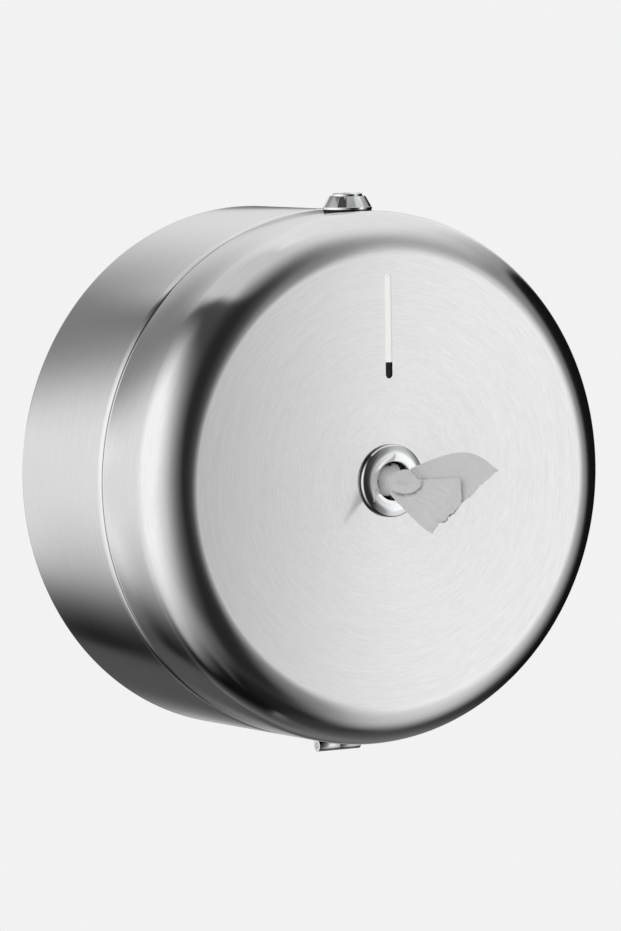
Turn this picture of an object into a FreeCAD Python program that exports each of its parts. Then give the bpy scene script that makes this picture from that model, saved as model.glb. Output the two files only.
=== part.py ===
"""Round wall-mounted centre-pull toilet paper dispenser in stainless steel.

The frame: origin at the centre of the wall face, on the drum's axis. +Z is up, the front faces -Y.
Lengths are millimetres. A depth is a distance in front of the wall, so it points along -Y.
"""
import FreeCAD, Part
import math
import os
import re
import Sketcher

FULL_TURN = 360.0
HEX_SIDES = 6

# Driving sizes, each written once. They fill the spreadsheet that every feature is bound to.
SIZES = {
    # Drawn steel shells
    "case_radius": 135,
    "rear_depth": 86,
    "cover_depth": 54,
    "wall_thickness": 0.8,
    "back_corner_radius": 4,
    "front_edge_radius": 22,
    "joggle_length": 5,
    "lip_length": 6,
    "rim_clearance": 0.5,
    "cut_overrun": 2,
    # Wall screw holes
    "screw_spacing": 120,
    "screw_hole_radius": 3,
    # Hinge under the seam
    "hinge_drop": 3.2,
    "pin_radius": 1.75,
    "pin_clearance": 0.05,
    "leaf_thickness": 1.2,
    "leaf_length": 22,
    "leaf_seat_gap": 0.05,
    "knuckle_length": 12.5,
    "knuckle_gap": 0.2,
    "notch_clearance": 0.6,
    # Roll of paper, partly used from the middle
    "roll_side_gap": 29,
    "roll_wrap": 49,
    "roll_front_gap": 19.2,
    "roll_back_gap": 4,
    # Cradle under the roll
    "cradle_thickness": 1.5,
    "cradle_clearance": 0.3,
    "cradle_half_angle": 36,
    "cradle_tray_setback": 7,
    "cradle_leg_back": 6,
    "cradle_leg_setback": 20,
    "cradle_foot_angle": 6,
    "cradle_weld_angle": 1.2,
    # Viewing slot, its lens and what holds it
    "slot_width": 4,
    "slot_edge_inset": 31.2,
    "slot_length": 52.4,
    "slot_bar_height": 8.1,
    "lens_thickness": 1.5,
    "lens_margin": 6,
    "lens_end_margin": 2,
    "lens_clearance": 0.1,
    "frame_margin": 7,
    "frame_end_margin": 2,
    "frame_lip": 2,
    "frame_end_lip": 1.2,
    "frame_lip_thickness": 1.2,
    "stud_radius": 1.5,
    "stud_height": 5,
    "stud_clearance": 0.1,
    "push_nut_radius": 3.4,
    "push_nut_thickness": 0.6,
    # Nozzle
    "nozzle_radius": 18.4,
    "nozzle_height": 3.4,
    "nozzle_edge_width": 2.6,
    "nozzle_edge_drop": 1.6,
    "nozzle_edge_radius": 4,
    "throat_radius": 9.8,
    "throat_setback": 2.4,
    "dish_radius": 14,
    "spigot_radius": 13,
    "spigot_bore_radius": 11,
    "spigot_length": 13,
    "spigot_clearance": 0.2,
    "gasket_thickness": 0.6,
    "gasket_inset": 0.5,
    "nozzle_nut_flats": 36,
    "nozzle_nut_height": 5,
    "guide_clearance": 0.05,
    "guide_wall": 1.3,
    "guide_flange_radius": 12.8,
    "guide_flange_thickness": 1.6,
    "fin_count": 8,
    "fin_thickness": 1.2,
    "fin_reach": 3.2,
    # Key lock on top of the cover
    "lock_setback": 16.7,
    "bezel_base_radius": 12.5,
    "bezel_top_radius": 9.1,
    "bezel_lift": 0.5,
    "bezel_height": 7.1,
    "bezel_foot_height": 1.6,
    "bezel_swell_radius": 16,
    "facet_count": 16,
    "facet_foot_inset": 0.45,
    "facet_top_inset": 0.06,
    "head_radius": 7.6,
    "head_height": 1.4,
    "head_chamfer": 0.3,
    "barrel_radius": 6.5,
    "barrel_length": 18,
    "barrel_clearance": 0.1,
    "plug_radius": 4.6,
    "plug_clearance": 0.05,
    "plug_head_radius": 5.7,
    "plug_head_height": 1.2,
    "plug_recess": 0.2,
    "keyway_width": 2.2,
    "keyway_length": 7,
    "keyway_depth": 9,
    "shank_half_width": 2.9,
    "shank_clearance": 0.05,
    "shank_shortfall": 0.1,
    "saddle_depth": 2,
    "saddle_radius": 10,
    "gasket_ring_inset": 0.25,
    "lock_nut_flats": 18,
    "lock_nut_height": 4.5,
    "cam_thickness": 2.5,
    "cam_half_width": 6,
    "cam_reach": 26,
    "cam_washer_radius": 5,
    "cam_washer_thickness": 1,
    "cam_screw_radius": 2,
    "cam_screw_head_radius": 3.6,
    "cam_screw_head_height": 2.4,
    "cam_screw_length": 8,
    "cam_screw_clearance": 0.05,
    # Strike that the cam turns into
    "strike_offset": 14,
    "strike_thickness": 1.2,
    "strike_clearance": 1.2,
    "strike_margin": 5,
    "strike_foot_width": 20,
    "strike_foot_setback": 8,
    "strike_foot_length": 32,
    "strike_seat_gap": 0.05,
    # Tail of tissue that hangs out of the nozzle
    "tail_root_inset": 11,
    "tail_reach": 51,
}

# Places and lengths worked out from the sizes above, each with a name of its own.
FORMULAS = {
    "case_depth": "rear_depth + cover_depth",
    "inner_radius": "case_radius - wall_thickness",
    "inside_front": "case_depth - wall_thickness",
    "joggle_step": "wall_thickness + rim_clearance",
    "joggle_start": "rear_depth - joggle_length",
    "lip_radius": "case_radius - joggle_step",
    "lip_inner_radius": "lip_radius - wall_thickness",
    "lip_front": "rear_depth + lip_length",
    "pin_height": "-(case_radius + hinge_drop)",
    "bore_radius": "pin_radius + pin_clearance",
    "knuckle_radius": "bore_radius + leaf_thickness",
    "hinge_notch": "knuckle_length + notch_clearance",
    "leaf_seat": "hinge_drop + case_radius - sqrt(inner_radius^2 - knuckle_length^2) + leaf_seat_gap",
    "roll_radius": "case_radius - roll_side_gap",
    "roll_core_radius": "roll_radius - roll_wrap",
    "roll_back": "wall_thickness + roll_back_gap",
    "roll_width": "inside_front - roll_front_gap - roll_back",
    "cradle_tray_front": "roll_back + roll_width - cradle_tray_setback",
    "cradle_leg_front": "rear_depth - cradle_leg_setback",
    "cradle_inner": "roll_radius + cradle_clearance",
    "cradle_outer": "cradle_inner + cradle_thickness",
    "cradle_foot_inner": "inner_radius - cradle_thickness",
    "slot_half": "slot_width / 2",
    "slot_high": "case_radius - slot_edge_inset",
    "slot_low": "slot_high - slot_length",
    "lens_half": "slot_half + lens_margin",
    "lens_low": "slot_low + slot_bar_height",
    "lens_high": "slot_high + lens_end_margin",
    "frame_half": "lens_half + frame_margin",
    "frame_low": "slot_low - lens_end_margin - frame_end_margin",
    "frame_high": "lens_high + lens_clearance + frame_end_margin",
    "frame_depth": "lens_thickness + frame_lip_thickness",
    "frame_back": "inside_front - frame_depth",
    "stud_side": "lens_half + frame_margin / 2",
    "stud_end_inset": "frame_margin / 2",
    "nozzle_front": "case_depth + nozzle_height",
    "nozzle_back": "case_depth + gasket_thickness",
    "spigot_back": "case_depth - spigot_length",
    "guide_outer_radius": "spigot_bore_radius - guide_clearance",
    "guide_bore_radius": "guide_outer_radius - guide_wall",
    "lock_depth": "rear_depth + lock_setback",
    "saddle_bottom": "-(wall_thickness + saddle_depth)",
    "lock_nut_corner": "lock_nut_flats / 2 / cos(180 / 6)",
    "lock_notch": "lock_nut_corner + strike_clearance",
    "barrel_end": "bezel_height - barrel_length",
    "plug_top": "bezel_height + head_height - plug_recess",
    "plug_seat": "plug_top - plug_head_height",
    "plug_shoulder": "barrel_end - plug_clearance",
    "cam_bottom": "plug_shoulder - cam_thickness",
    "cam_low": "case_radius + cam_bottom",
    "cam_high": "cam_low + cam_thickness",
    "strike_slot_front": "lock_depth + cam_half_width + strike_clearance",
    "strike_slot_back": "lock_depth - sqrt(cam_reach^2 - strike_offset^2) - strike_clearance",
    "strike_foot_front": "rear_depth - strike_foot_setback",
    "strike_foot_back": "strike_foot_front - strike_foot_length",
    "strike_low": "cam_low - strike_clearance - strike_margin",
    "strike_high": "cam_high + strike_clearance + strike_margin",
    "strike_outer": "inner_radius - strike_seat_gap",
    "strike_inner": "strike_outer - strike_thickness",
    "strike_far_side": "strike_offset + strike_thickness",
    "strike_foot_end": "strike_offset + strike_foot_width",
}

# Tail sections, front of the nozzle outwards. Lengths are shares of tail_reach, angles are degrees:
# (forward, across, up, half width, half thickness, turn of the long side)
TAIL_SECTION_SHARES = (
    (0.02, 0.00, 0.00, 0.122, 0.095, 45.0),
    (0.12, 0.01, 0.01, 0.200, 0.135, 44.0),
    (0.25, 0.035, 0.03, 0.250, 0.130, 43.0),
    (0.60, 0.13, -0.02, 0.400, 0.065, 54.0),
    (1.00, 0.23, -0.16, 0.460, 0.020, 43.0),
)
TAIL_ROOT_SHARES = (0.100, 0.075, 45.0)

NAME = re.compile(r"[a-z]+(?:_[a-z]+)+")

os.makedirs("parts", exist_ok=True)
doc = FreeCAD.newDocument("dispenser")


def fill_sheet():
    """Puts each driving size in a cell of its own, with its name as the alias."""
    sheet = doc.addObject("Spreadsheet::Sheet", "Sizes")
    for row, (name, number) in enumerate(SIZES.items(), start=1):
        cell = "A%d" % row
        sheet.set(cell, str(number))
        sheet.setAlias(cell, name)
    doc.recompute()
    return sheet


sheet = fill_sheet()


def bound(formula):
    """Spells a formula out in the sheet's cells."""
    def spelled(found):
        word = found.group()
        if word in FORMULAS:
            return "(" + bound(FORMULAS[word]) + ")"
        return "Sizes." + word
    return NAME.sub(spelled, formula)


def size(formula):
    """The number that a formula gives with the sheet's present sizes."""
    return float(sheet.evalExpression(bound(formula)))


def origin_feature(body, role):
    """A body's own origin plane or axis."""
    return [feature for feature in body.Origin.OriginFeatures if feature.Role == role][0]


def new_body(label, across="0", depth="0", up="0"):
    """An empty body whose own origin stands at the given place."""
    body = doc.addObject("PartDesign::Body", label)
    body.Label = label
    for axis, formula in (("x", across), ("y", "-(%s)" % depth), ("z", up)):
        body.setExpression("Placement.Base." + axis, bound(formula))
    doc.recompute()
    return body


def sketch_on(body, role, height="0"):
    """A sketch on one of the body's origin planes. On XZ the height points forwards, on XY up."""
    sketch = body.newObject("Sketcher::SketchObject", body.Name + "_sketch")
    sketch.AttachmentSupport = (origin_feature(body, role), "")
    sketch.MapMode = "FlatFace"
    sketch.setExpression("AttachmentOffset.Base.z", bound(height))
    return sketch


def constrain(sketch, constraint, formula):
    """Adds a constraint and ties it to its formula."""
    index = sketch.addConstraint(constraint)
    sketch.setExpression("Constraints[%d]" % index, bound(formula))


def pin_point(sketch, geometry, position, across, up):
    """Holds a point of a sketch at a place given by two formulas."""
    for kind, formula, axis in (("DistanceX", across, -2), ("DistanceY", up, -1)):
        if formula == "0":
            sketch.addConstraint(Sketcher.Constraint("PointOnObject", geometry, position, axis))
        else:
            constrain(sketch, Sketcher.Constraint(kind, -1, 1, geometry, position, size(formula)), formula)


def arc_between(start, end, radius, turn):
    """The shorter arc from start to end that turns left or right, and whether it runs backwards."""
    chord = end - start
    middle = (start + end) * 0.5
    rise = math.sqrt(max(radius * radius - chord.Length ** 2 / 4, 0.0))
    across = FreeCAD.Vector(-chord.y, chord.x, 0).normalize()
    centre = middle + across * (rise if turn == "left" else -rise)
    first, last = (start, end) if turn == "left" else (end, start)
    from_angle = math.atan2(first.y - centre.y, first.x - centre.x)
    to_angle = math.atan2(last.y - centre.y, last.x - centre.x)
    if to_angle < from_angle:
        to_angle += 2 * math.pi
    circle = Part.Circle(centre, FreeCAD.Vector(0, 0, 1), radius)
    return Part.ArcOfCircle(circle, from_angle, to_angle)


def outline(sketch, corners):
    """Draws a closed outline through corners (across, up).

    A corner (across, up, radius, turn) starts an arc that turns left or right to the next corner.
    """
    points = [FreeCAD.Vector(size(corner[0]), size(corner[1]), 0) for corner in corners]
    sides = []
    for index, corner in enumerate(corners):
        start = points[index]
        end = points[(index + 1) % len(corners)]
        if len(corner) == 2:
            sides.append((sketch.addGeometry(Part.LineSegment(start, end), False), 1, 2))
            continue
        arc = arc_between(start, end, size(corner[2]), corner[3])
        ends = (1, 2) if corner[3] == "left" else (2, 1)
        sides.append((sketch.addGeometry(arc, False),) + ends)
    for index, corner in enumerate(corners):
        side, begin, finish = sides[index]
        next_side, next_begin, _ = sides[(index + 1) % len(corners)]
        sketch.addConstraint(Sketcher.Constraint("Coincident", side, finish, next_side, next_begin))
        pin_point(sketch, side, begin, corner[0], corner[1])
        if len(corner) > 2:
            constrain(sketch, Sketcher.Constraint("Radius", side, size(corner[2])), corner[2])


def circle(sketch, radius, across="0", up="0"):
    """Draws a circle."""
    centre = FreeCAD.Vector(size(across), size(up), 0)
    geometry = sketch.addGeometry(Part.Circle(centre, FreeCAD.Vector(0, 0, 1), size(radius)), False)
    pin_point(sketch, geometry, 3, across, up)
    constrain(sketch, Sketcher.Constraint("Radius", geometry, size(radius)), radius)


def rectangle(sketch, left, right, low, high):
    """Draws a rectangle between four formulas."""
    outline(sketch, [(left, low), (right, low), (right, high), (left, high)])


def round_ended(sketch, half_width, low, high):
    """Draws an upright slot with round ends, whose end centres are at low and high."""
    left = "-(%s)" % half_width
    outline(sketch, [
        (left, high, half_width, "right"),
        ("0", "%s + %s" % (high, half_width), half_width, "right"),
        (half_width, high),
        (half_width, low, half_width, "right"),
        ("0", "%s - (%s)" % (low, half_width), half_width, "right"),
        (left, low),
    ])


def check(feature, body, grows):
    """Recomputes and stops the build if a feature failed or left the solid as it was."""
    before = body.Shape.Volume if body.Shape and not body.Shape.isNull() else 0.0
    doc.recompute()
    broken = [state for state in feature.State if state in ("Invalid", "Error")]
    after = body.Shape.Volume
    if broken or (after <= before if grows else after >= before):
        raise SystemExit("%s: %s changed nothing or failed" % (body.Label, feature.Label))
    return feature


def pad(body, sketch, length, symmetric=False, reverse=False):
    """Adds a sketch's outline, length thick."""
    feature = body.newObject("PartDesign::Pad", body.Name + "_pad")
    feature.Profile = sketch
    feature.SideType = "Symmetric" if symmetric else "One side"
    feature.Reversed = reverse
    feature.setExpression("Length", bound(length))
    return check(feature, body, grows=True)


def pocket(body, sketch, depth=None, symmetric=False, reverse=False):
    """Cuts a sketch's outline, right through unless a depth is given."""
    feature = body.newObject("PartDesign::Pocket", body.Name + "_pocket")
    feature.Profile = sketch
    feature.SideType = "Symmetric" if symmetric else "One side"
    feature.Reversed = reverse
    if depth is None:
        feature.Type = "ThroughAll"
    else:
        feature.setExpression("Length", bound(depth))
    return check(feature, body, grows=False)


def revolve(body, sketch, role):
    """Turns a sketch's outline right round one of the body's axes."""
    feature = body.newObject("PartDesign::Revolution", body.Name + "_revolution")
    feature.Profile = sketch
    feature.ReferenceAxis = (origin_feature(body, role), [""])
    feature.Angle = FULL_TURN
    return check(feature, body, grows=True)


def round_pattern(body, feature, role, count, grows):
    """Repeats a feature evenly round one of the body's axes."""
    before = body.Shape.Volume
    pattern = body.newObject("PartDesign::PolarPattern", body.Name + "_pattern")
    pattern.Originals = [feature]
    pattern.Axis = (origin_feature(body, role), [""])
    pattern.Angle = FULL_TURN
    pattern.setExpression("Occurrences", bound(count))
    body.Tip = pattern
    doc.recompute()
    if grows == (body.Shape.Volume <= before):
        raise SystemExit(body.Label + ": the pattern changed nothing")
    return pattern


def hex_prism(body, flats, height, base):
    """Adds a hexagon, flats across, that stands up from base along the body's Z axis."""
    prism = body.newObject("PartDesign::AdditivePrism", body.Name + "_hexagon")
    prism.Polygon = HEX_SIDES
    prism.setExpression("Circumradius", bound("%s / 2 / cos(180 / %d)" % (flats, HEX_SIDES)))
    prism.setExpression("Height", bound(height))
    prism.setExpression("AttachmentOffset.Base.z", bound(base))
    prism.AttachmentSupport = (origin_feature(body, "XY_Plane"), "")
    prism.MapMode = "FlatFace"
    return check(prism, body, grows=True)


# Shells

def rear_case():
    """Drawn pan on the wall: round back corner, joggled rim and a lip that sits inside the cover."""
    body = new_body("rear_case")
    profile = sketch_on(body, "YZ_Plane")
    outline(profile, [
        ("0", "0"),
        ("0", "case_radius - back_corner_radius", "back_corner_radius", "left"),
        ("-back_corner_radius", "case_radius"),
        ("-joggle_start", "case_radius"),
        ("-rear_depth", "lip_radius"),
        ("-lip_front", "lip_radius"),
        ("-lip_front", "lip_inner_radius"),
        ("-rear_depth", "lip_inner_radius"),
        ("-joggle_start", "inner_radius"),
        ("-back_corner_radius", "inner_radius", "back_corner_radius - wall_thickness", "right"),
        ("-wall_thickness", "case_radius - back_corner_radius"),
        ("-wall_thickness", "0"),
    ])
    revolve(body, profile, "Y_Axis")
    screw_holes = sketch_on(body, "XZ_Plane")
    for across in ("-screw_spacing / 2", "screw_spacing / 2"):
        for up in ("-screw_spacing / 2", "screw_spacing / 2"):
            circle(screw_holes, "screw_hole_radius", across, up)
    pocket(body, screw_holes, "wall_thickness + cut_overrun", reverse=True)
    hinge_notch = sketch_on(body, "XY_Plane", "-case_radius - cut_overrun")
    rectangle(hinge_notch, "-hinge_notch", "hinge_notch", "-lip_front - cut_overrun", "-joggle_start")
    pocket(body, hinge_notch, "hinge_drop + joggle_step + cut_overrun + wall_thickness", reverse=True)
    lock_notch = sketch_on(body, "XY_Plane", "case_radius + cut_overrun")
    rectangle(lock_notch, "-lock_notch", "lock_notch", "-lip_front - cut_overrun",
              "-rear_depth - wall_thickness")
    pocket(body, lock_notch, "joggle_step + wall_thickness + 2 * cut_overrun")
    return body


def front_cover():
    """Drawn cover with a large rounded front edge, a viewing slot and holes for nozzle and lock."""
    body = new_body("front_cover")
    profile = sketch_on(body, "YZ_Plane")
    flat_radius = "case_radius - front_edge_radius"
    edge_start = "-(case_depth - front_edge_radius)"
    outline(profile, [
        ("-rear_depth", "inner_radius"),
        ("-rear_depth", "case_radius"),
        (edge_start, "case_radius", "front_edge_radius", "left"),
        ("-case_depth", flat_radius),
        ("-case_depth", "spigot_radius + spigot_clearance"),
        ("-inside_front", "spigot_radius + spigot_clearance"),
        ("-inside_front", flat_radius, "front_edge_radius - wall_thickness", "right"),
        (edge_start, "inner_radius"),
    ])
    revolve(body, profile, "Y_Axis")
    slot = sketch_on(body, "XZ_Plane", "case_depth + cut_overrun")
    round_ended(slot, "slot_half", "slot_low + slot_half", "slot_high - slot_half")
    pocket(body, slot, "wall_thickness + 2 * cut_overrun")
    lock_hole = sketch_on(body, "XY_Plane", "case_radius + cut_overrun")
    circle(lock_hole, "barrel_radius + barrel_clearance", "0", "-lock_depth")
    pocket(body, lock_hole, "wall_thickness + 2 * cut_overrun")
    hinge_notch = sketch_on(body, "XY_Plane", "-case_radius - cut_overrun")
    rectangle(hinge_notch, "-hinge_notch", "hinge_notch",
              "-(rear_depth + knuckle_radius + leaf_thickness + notch_clearance)",
              "-rear_depth + cut_overrun")
    pocket(body, hinge_notch, "joggle_step + 2 * cut_overrun", reverse=True)
    return body


# Hinge

def hinge_leaf(label, left_side, forward):
    """Half of the butt hinge: a rolled knuckle and a leaf bent along the inside of its shell."""
    body = new_body(label, "0", "rear_depth", "pin_height")
    middle = "(knuckle_length + knuckle_gap / 2) / 2"
    length = "knuckle_length - knuckle_gap / 2"
    offset = "-(%s)" % middle if left_side else middle
    knuckle = sketch_on(body, "YZ_Plane", offset)
    circle(knuckle, "knuckle_radius")
    circle(knuckle, "bore_radius")
    pad(body, knuckle, length, symmetric=True)
    sign = "-" if forward else ""
    turns = ("left", "right") if forward else ("right", "left")
    leaf = sketch_on(body, "YZ_Plane", offset)
    outline(leaf, [
        (sign + "bore_radius", "0"),
        (sign + "knuckle_radius", "0"),
        (sign + "knuckle_radius", "leaf_seat - leaf_thickness", "leaf_thickness", turns[0]),
        (sign + "(knuckle_radius + leaf_thickness)", "leaf_seat"),
        (sign + "(knuckle_radius + leaf_length)", "leaf_seat"),
        (sign + "(knuckle_radius + leaf_length)", "leaf_seat + leaf_thickness"),
        (sign + "(knuckle_radius + leaf_thickness)", "leaf_seat + leaf_thickness",
         "2 * leaf_thickness", turns[1]),
        (sign + "bore_radius", "leaf_seat - leaf_thickness"),
    ])
    pad(body, leaf, length, symmetric=True)
    return body


def hinge_leaf_rear():
    """Leaf that is welded to the pan."""
    return hinge_leaf("hinge_leaf_rear", left_side=True, forward=False)


def hinge_leaf_cover():
    """Leaf that is welded to the cover."""
    return hinge_leaf("hinge_leaf_cover", left_side=False, forward=True)


def hinge_pin():
    """Plain pin, flush with the ends of the knuckles."""
    body = new_body("hinge_pin", "0", "rear_depth", "pin_height")
    section = sketch_on(body, "YZ_Plane")
    circle(section, "pin_radius")
    pad(body, section, "2 * knuckle_length", symmetric=True)
    return body


# Inside the case

def paper_roll():
    """Roll of tissue with its middle partly used."""
    body = new_body("paper_roll")
    ends = sketch_on(body, "XZ_Plane", "roll_back")
    circle(ends, "roll_radius")
    circle(ends, "roll_core_radius")
    pad(body, ends, "roll_width")
    return body


def ray(radius, angle):
    """The across and up formulas of a point at a radius and an angle from straight down."""
    return "(%s) * sin(%s)" % (radius, angle), "-(%s) * cos(%s)" % (radius, angle)


def roll_cradle():
    """Bent sheet under the roll: a tray on two legs whose feet are welded to the pan."""
    body = new_body("roll_cradle")
    left = "-cradle_half_angle"
    right = "cradle_half_angle"
    tray = sketch_on(body, "XZ_Plane", "wall_thickness")
    outline(tray, [
        ray("cradle_inner", left) + ("cradle_inner", "left"),
        ray("cradle_inner", "0") + ("cradle_inner", "left"),
        ray("cradle_inner", right),
        ray("cradle_outer", right) + ("cradle_outer", "right"),
        ray("cradle_outer", "0") + ("cradle_outer", "right"),
        ray("cradle_outer", left),
    ])
    pad(body, tray, "cradle_tray_front - wall_thickness")
    for side in ("", "-"):
        near = side + "cradle_half_angle"
        inset = "%s(cradle_half_angle - cradle_weld_angle)" % side
        far = "%s(cradle_half_angle + cradle_foot_angle)" % side
        out, back = ("left", "right") if side == "" else ("right", "left")
        leg = sketch_on(body, "XZ_Plane", "cradle_leg_back")
        outline(leg, [
            ray("cradle_inner", near),
            ray("cradle_foot_inner", near) + ("cradle_foot_inner", out),
            ray("cradle_foot_inner", far),
            ray("inner_radius", far) + ("inner_radius", back),
            ray("inner_radius", inset),
            ray("cradle_inner", inset),
        ])
        pad(body, leg, "cradle_leg_front - cradle_leg_back")
    return body


def strike_bracket():
    """Bracket inside the top of the pan, with the slot that the lock's cam turns into."""
    body = new_body("strike_bracket")
    foot = sketch_on(body, "XZ_Plane", "strike_foot_back")
    outline(foot, [
        ("strike_offset", "strike_low"),
        ("strike_far_side", "strike_low"),
        ("strike_far_side", "sqrt(strike_inner^2 - strike_far_side^2)", "strike_inner", "right"),
        ("strike_foot_end", "sqrt(strike_inner^2 - strike_foot_end^2)"),
        ("strike_foot_end", "sqrt(strike_outer^2 - strike_foot_end^2)", "strike_outer", "left"),
        ("strike_offset", "sqrt(strike_outer^2 - strike_offset^2)"),
    ])
    pad(body, foot, "strike_foot_front - strike_foot_back")
    tongue = sketch_on(body, "YZ_Plane", "strike_offset")
    rectangle(tongue, "-(strike_slot_front + strike_margin)", "-strike_foot_back",
              "strike_low", "strike_high")
    pad(body, tongue, "strike_thickness")
    slot = sketch_on(body, "YZ_Plane", "strike_far_side + cut_overrun")
    rectangle(slot, "-strike_slot_front", "-strike_slot_back",
              "cam_low - strike_clearance", "cam_high + strike_clearance")
    pocket(body, slot, "strike_thickness + 2 * cut_overrun")
    return body


# Viewing window

def window_lens():
    """Opal strip behind the slot, which ends above the slot's foot."""
    body = new_body("window_lens")
    sheet_outline = sketch_on(body, "XZ_Plane", "inside_front - lens_thickness")
    rectangle(sheet_outline, "-lens_half", "lens_half", "lens_low", "lens_high")
    pad(body, sheet_outline, "lens_thickness")
    return body


def window_frame():
    """Moulded frame that holds the lens. Its broad lower bar shows in the slot's foot."""
    body = new_body("window_frame")
    block = sketch_on(body, "XZ_Plane", "frame_back")
    rectangle(block, "-frame_half", "frame_half", "frame_low", "frame_high")
    for across, up in stud_places():
        circle(block, "stud_radius + stud_clearance", across, up)
    pad(body, block, "frame_depth")
    seat = sketch_on(body, "XZ_Plane", "inside_front")
    rectangle(seat, "-(lens_half + lens_clearance)", "lens_half + lens_clearance",
              "lens_low - lens_clearance", "lens_high + lens_clearance")
    pocket(body, seat, "lens_thickness")
    view = sketch_on(body, "XZ_Plane", "inside_front")
    rectangle(view, "-(lens_half - frame_lip)", "lens_half - frame_lip",
              "lens_low + frame_end_lip", "lens_high - frame_end_lip")
    pocket(body, view)
    return body


def stud_places():
    """The four weld studs, at the corners of the frame."""
    return [(side + "stud_side", up) for side in ("", "-")
            for up in ("frame_low + stud_end_inset", "frame_high - stud_end_inset")]


def window_studs():
    """Four studs welded to the inside of the cover."""
    body = new_body("window_studs")
    body.AllowCompound = True
    section = sketch_on(body, "XZ_Plane", "inside_front - stud_height")
    for across, up in stud_places():
        circle(section, "stud_radius", across, up)
    pad(body, section, "stud_height")
    return body


def window_push_nuts():
    """Four push nuts that hold the frame on its studs."""
    body = new_body("window_push_nuts")
    body.AllowCompound = True
    section = sketch_on(body, "XZ_Plane", "frame_back - push_nut_thickness")
    for across, up in stud_places():
        circle(section, "push_nut_radius", across, up)
        circle(section, "stud_radius + stud_clearance", across, up)
    pad(body, section, "push_nut_thickness")
    return body


# Nozzle

def nozzle_bezel():
    """Turned and polished nozzle: a dished flange outside and a threaded spigot inside."""
    body = new_body("nozzle_bezel")
    profile = sketch_on(body, "YZ_Plane")
    throat_depth = "nozzle_front - throat_setback"
    outline(profile, [
        ("-spigot_back", "spigot_bore_radius"),
        ("-spigot_back", "spigot_radius"),
        ("-nozzle_back", "spigot_radius"),
        ("-nozzle_back", "nozzle_radius"),
        ("-(nozzle_front - nozzle_edge_drop)", "nozzle_radius", "nozzle_edge_radius", "left"),
        ("-nozzle_front", "nozzle_radius - nozzle_edge_width", "dish_radius", "right"),
        ("-(%s)" % throat_depth, "throat_radius"),
        ("-(%s - wall_thickness)" % throat_depth, "throat_radius"),
        ("-(%s - wall_thickness)" % throat_depth, "spigot_bore_radius"),
    ])
    revolve(body, profile, "Y_Axis")
    return body


def nozzle_gasket():
    """Flat rubber ring between the nozzle's flange and the cover."""
    body = new_body("nozzle_gasket")
    ring = sketch_on(body, "XZ_Plane", "case_depth")
    circle(ring, "nozzle_radius - gasket_inset")
    circle(ring, "spigot_radius + spigot_clearance")
    pad(body, ring, "gasket_thickness")
    return body


def nozzle_nut():
    """Hexagon nut that pulls the nozzle against the cover."""
    body = new_body("nozzle_nut")
    faces = sketch_on(body, "XZ_Plane", "inside_front - nozzle_nut_height")
    corner = "nozzle_nut_flats / 2 / cos(180 / %d)" % HEX_SIDES
    step = FULL_TURN / HEX_SIDES
    angles = [step / 4 + step * side for side in range(HEX_SIDES)]
    outline(faces, [("(%s) * cos(%g)" % (corner, angle), "(%s) * sin(%g)" % (corner, angle))
                    for angle in angles])
    circle(faces, "spigot_radius + pin_clearance")
    pad(body, faces, "nozzle_nut_height")
    return body


def nozzle_guide():
    """Moulded insert in the spigot, with fins that comb and brake the tissue."""
    body = new_body("nozzle_guide")
    front = "nozzle_front - throat_setback - wall_thickness - guide_clearance"
    profile = sketch_on(body, "YZ_Plane")
    outline(profile, [
        ("-(spigot_back - guide_flange_thickness)", "guide_bore_radius"),
        ("-(spigot_back - guide_flange_thickness)", "guide_flange_radius"),
        ("-spigot_back", "guide_flange_radius"),
        ("-spigot_back", "guide_outer_radius"),
        ("-(%s)" % front, "guide_outer_radius"),
        ("-(%s)" % front, "guide_bore_radius"),
    ])
    revolve(body, profile, "Y_Axis")
    fin = sketch_on(body, "XZ_Plane", "spigot_back - guide_flange_thickness")
    rectangle(fin, "-fin_thickness / 2", "fin_thickness / 2",
              "guide_bore_radius - fin_reach", "guide_bore_radius + guide_wall / 2")
    fin_pad = pad(body, fin, "%s - spigot_back + guide_flange_thickness" % front)
    round_pattern(body, fin_pad, "Y_Axis", "fin_count", grows=True)
    return body


# Lock

def lock_part(label):
    """A body whose origin is on the lock's axis, at the top of the drum."""
    return new_body(label, "0", "lock_depth", "case_radius")


def lock_bezel():
    """Cast collar with flat facets that run out in arches under a round rim."""
    body = lock_part("lock_bezel")
    profile = sketch_on(body, "YZ_Plane")
    outline(profile, [
        ("barrel_radius + barrel_clearance", "bezel_lift"),
        ("bezel_base_radius", "bezel_lift"),
        ("bezel_base_radius", "bezel_foot_height", "bezel_swell_radius", "left"),
        ("bezel_top_radius", "bezel_height"),
        ("barrel_radius + barrel_clearance", "bezel_height"),
    ])
    revolve(body, profile, "Z_Axis")
    facet = sketch_on(body, "YZ_Plane")
    outline(facet, [
        ("bezel_base_radius + cut_overrun", "bezel_foot_height"),
        ("bezel_base_radius + cut_overrun", "bezel_height"),
        ("bezel_top_radius - facet_top_inset", "bezel_height"),
        ("bezel_base_radius - facet_foot_inset", "bezel_foot_height"),
    ])
    facet_cut = pocket(body, facet, "2 * bezel_base_radius", symmetric=True)
    round_pattern(body, facet_cut, "Z_Axis", "facet_count", grows=False)
    return body


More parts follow.
